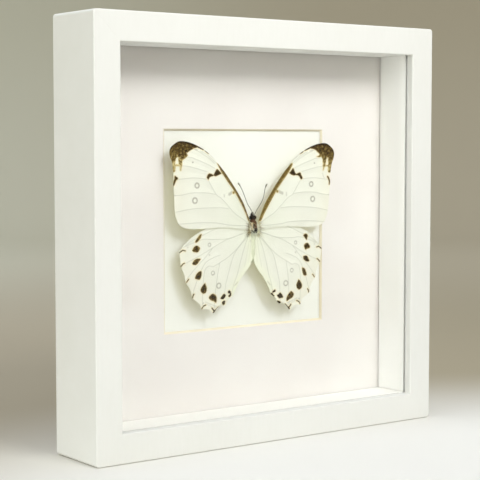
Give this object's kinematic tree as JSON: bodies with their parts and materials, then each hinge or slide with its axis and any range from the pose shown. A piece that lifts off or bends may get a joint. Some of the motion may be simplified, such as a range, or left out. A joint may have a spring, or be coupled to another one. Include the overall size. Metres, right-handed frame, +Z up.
{
  "type": "framed butterfly specimen",
  "caption": "White butterfly with brown wing tips and spots, wings spread, fixed in front of a windowed mat in a deep white box frame with a glass front.",
  "frame": {"origin": "middle of the underside of the frame", "axes": "+Z up, +Y towards the back of the frame, front and butterfly towards -Y, +X to the viewer's right"},
  "size_m": [0.25, 0.045, 0.25],
  "materials": {
    "painted_wood": "white satin paint",
    "spacer_wood": "white matt paint",
    "steel": "bright zinc plate",
    "glass": "clear polished",
    "mat_card": "matt white card, bevelled window",
    "mount_card": "matt ivory card",
    "hardboard": "raw brown hardboard",
    "wing_scales": "matt ivory scales with brown markings",
    "body_fur": "dark and pale hair",
    "antenna_horn": "dull grey horn"
  },
  "bodies": {
    "root": {"rail_bottom": "painted_wood", "rail_right": "painted_wood", "rail_top": "painted_wood", "rail_left": "painted_wood", "tab_1": "steel", "tab_2": "steel", "tab_3": "steel", "tab_4": "steel", "tab_5": "steel", "tab_6": "steel", "tab_7": "steel", "tab_8": "steel", "glass_pane": "glass", "spacer_bottom": "spacer_wood", "spacer_right": "spacer_wood", "spacer_top": "spacer_wood", "spacer_left": "spacer_wood", "mat": "mat_card", "mount_board": "mount_card", "backing_board": "hardboard", "hanger_plate": "steel", "hanger_rivet_1": "steel", "hanger_rivet_2": "steel", "body": "body_fur", "antenna_left": "antenna_horn", "antenna_right": "antenna_horn", "forewing_left": "wing_scales", "forewing_right": "wing_scales", "hindwing_left": "wing_scales", "hindwing_right": "wing_scales", "mounting_pin": "steel"}
  },
  "joints": []
}
